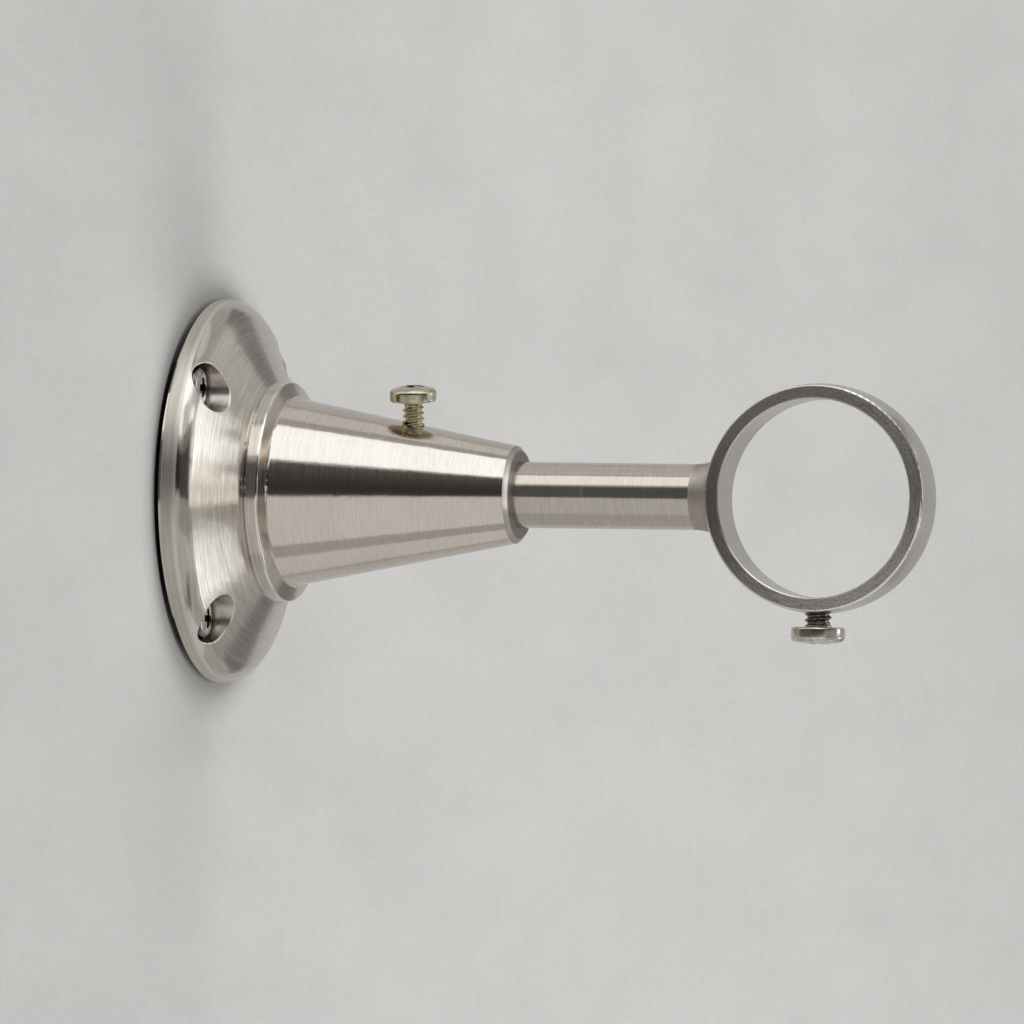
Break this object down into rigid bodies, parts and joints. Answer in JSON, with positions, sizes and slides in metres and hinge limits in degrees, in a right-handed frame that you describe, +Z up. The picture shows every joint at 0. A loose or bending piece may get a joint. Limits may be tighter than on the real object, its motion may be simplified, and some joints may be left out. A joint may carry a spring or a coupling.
{
  "type": "curtain pole bracket",
  "caption": "Wall bracket for a curtain pole: round flanged socket base, sliding arm with a ring for the pole, and pan-head clamp screws, in satin nickel.",
  "frame": {"origin": "centre of the flange's back face, on the wall", "axes": "+X out of the wall along the arm, Y along the pole, +Z up, as mounted on an upright wall"},
  "size_m": [0.163, 0.07, 0.07],
  "materials": {
    "satin_nickel": "satin nickel plate, brushed round the turned faces",
    "yellow_zinc": "yellowish zinc plate",
    "clear_zinc": "clear zinc plate"
  },
  "bodies": {
    "base": {"base": "satin_nickel", "wall_screws": "clear_zinc"},
    "arm": {"arm": "satin_nickel"},
    "socket_screw": {"socket_screw": "yellow_zinc"},
    "pole_screw": {"pole_screw": "clear_zinc"}
  },
  "joints": [
    {"name": "arm_slide", "type": "slide", "parent": "base", "child": "arm", "axis": [1, 0, 0], "range_m": [-0.022, 0.01]},
    {"name": "socket_screw_advance", "type": "slide", "parent": "base", "child": "socket_screw", "axis": [0, -0.1219, 0.9925], "range_m": [-0.0007, 0.004]},
    {"name": "pole_screw_advance", "type": "slide", "parent": "arm", "child": "pole_screw", "axis": [0, 0, -1], "range_m": [-0.0021, 0.0015]}
  ]
}
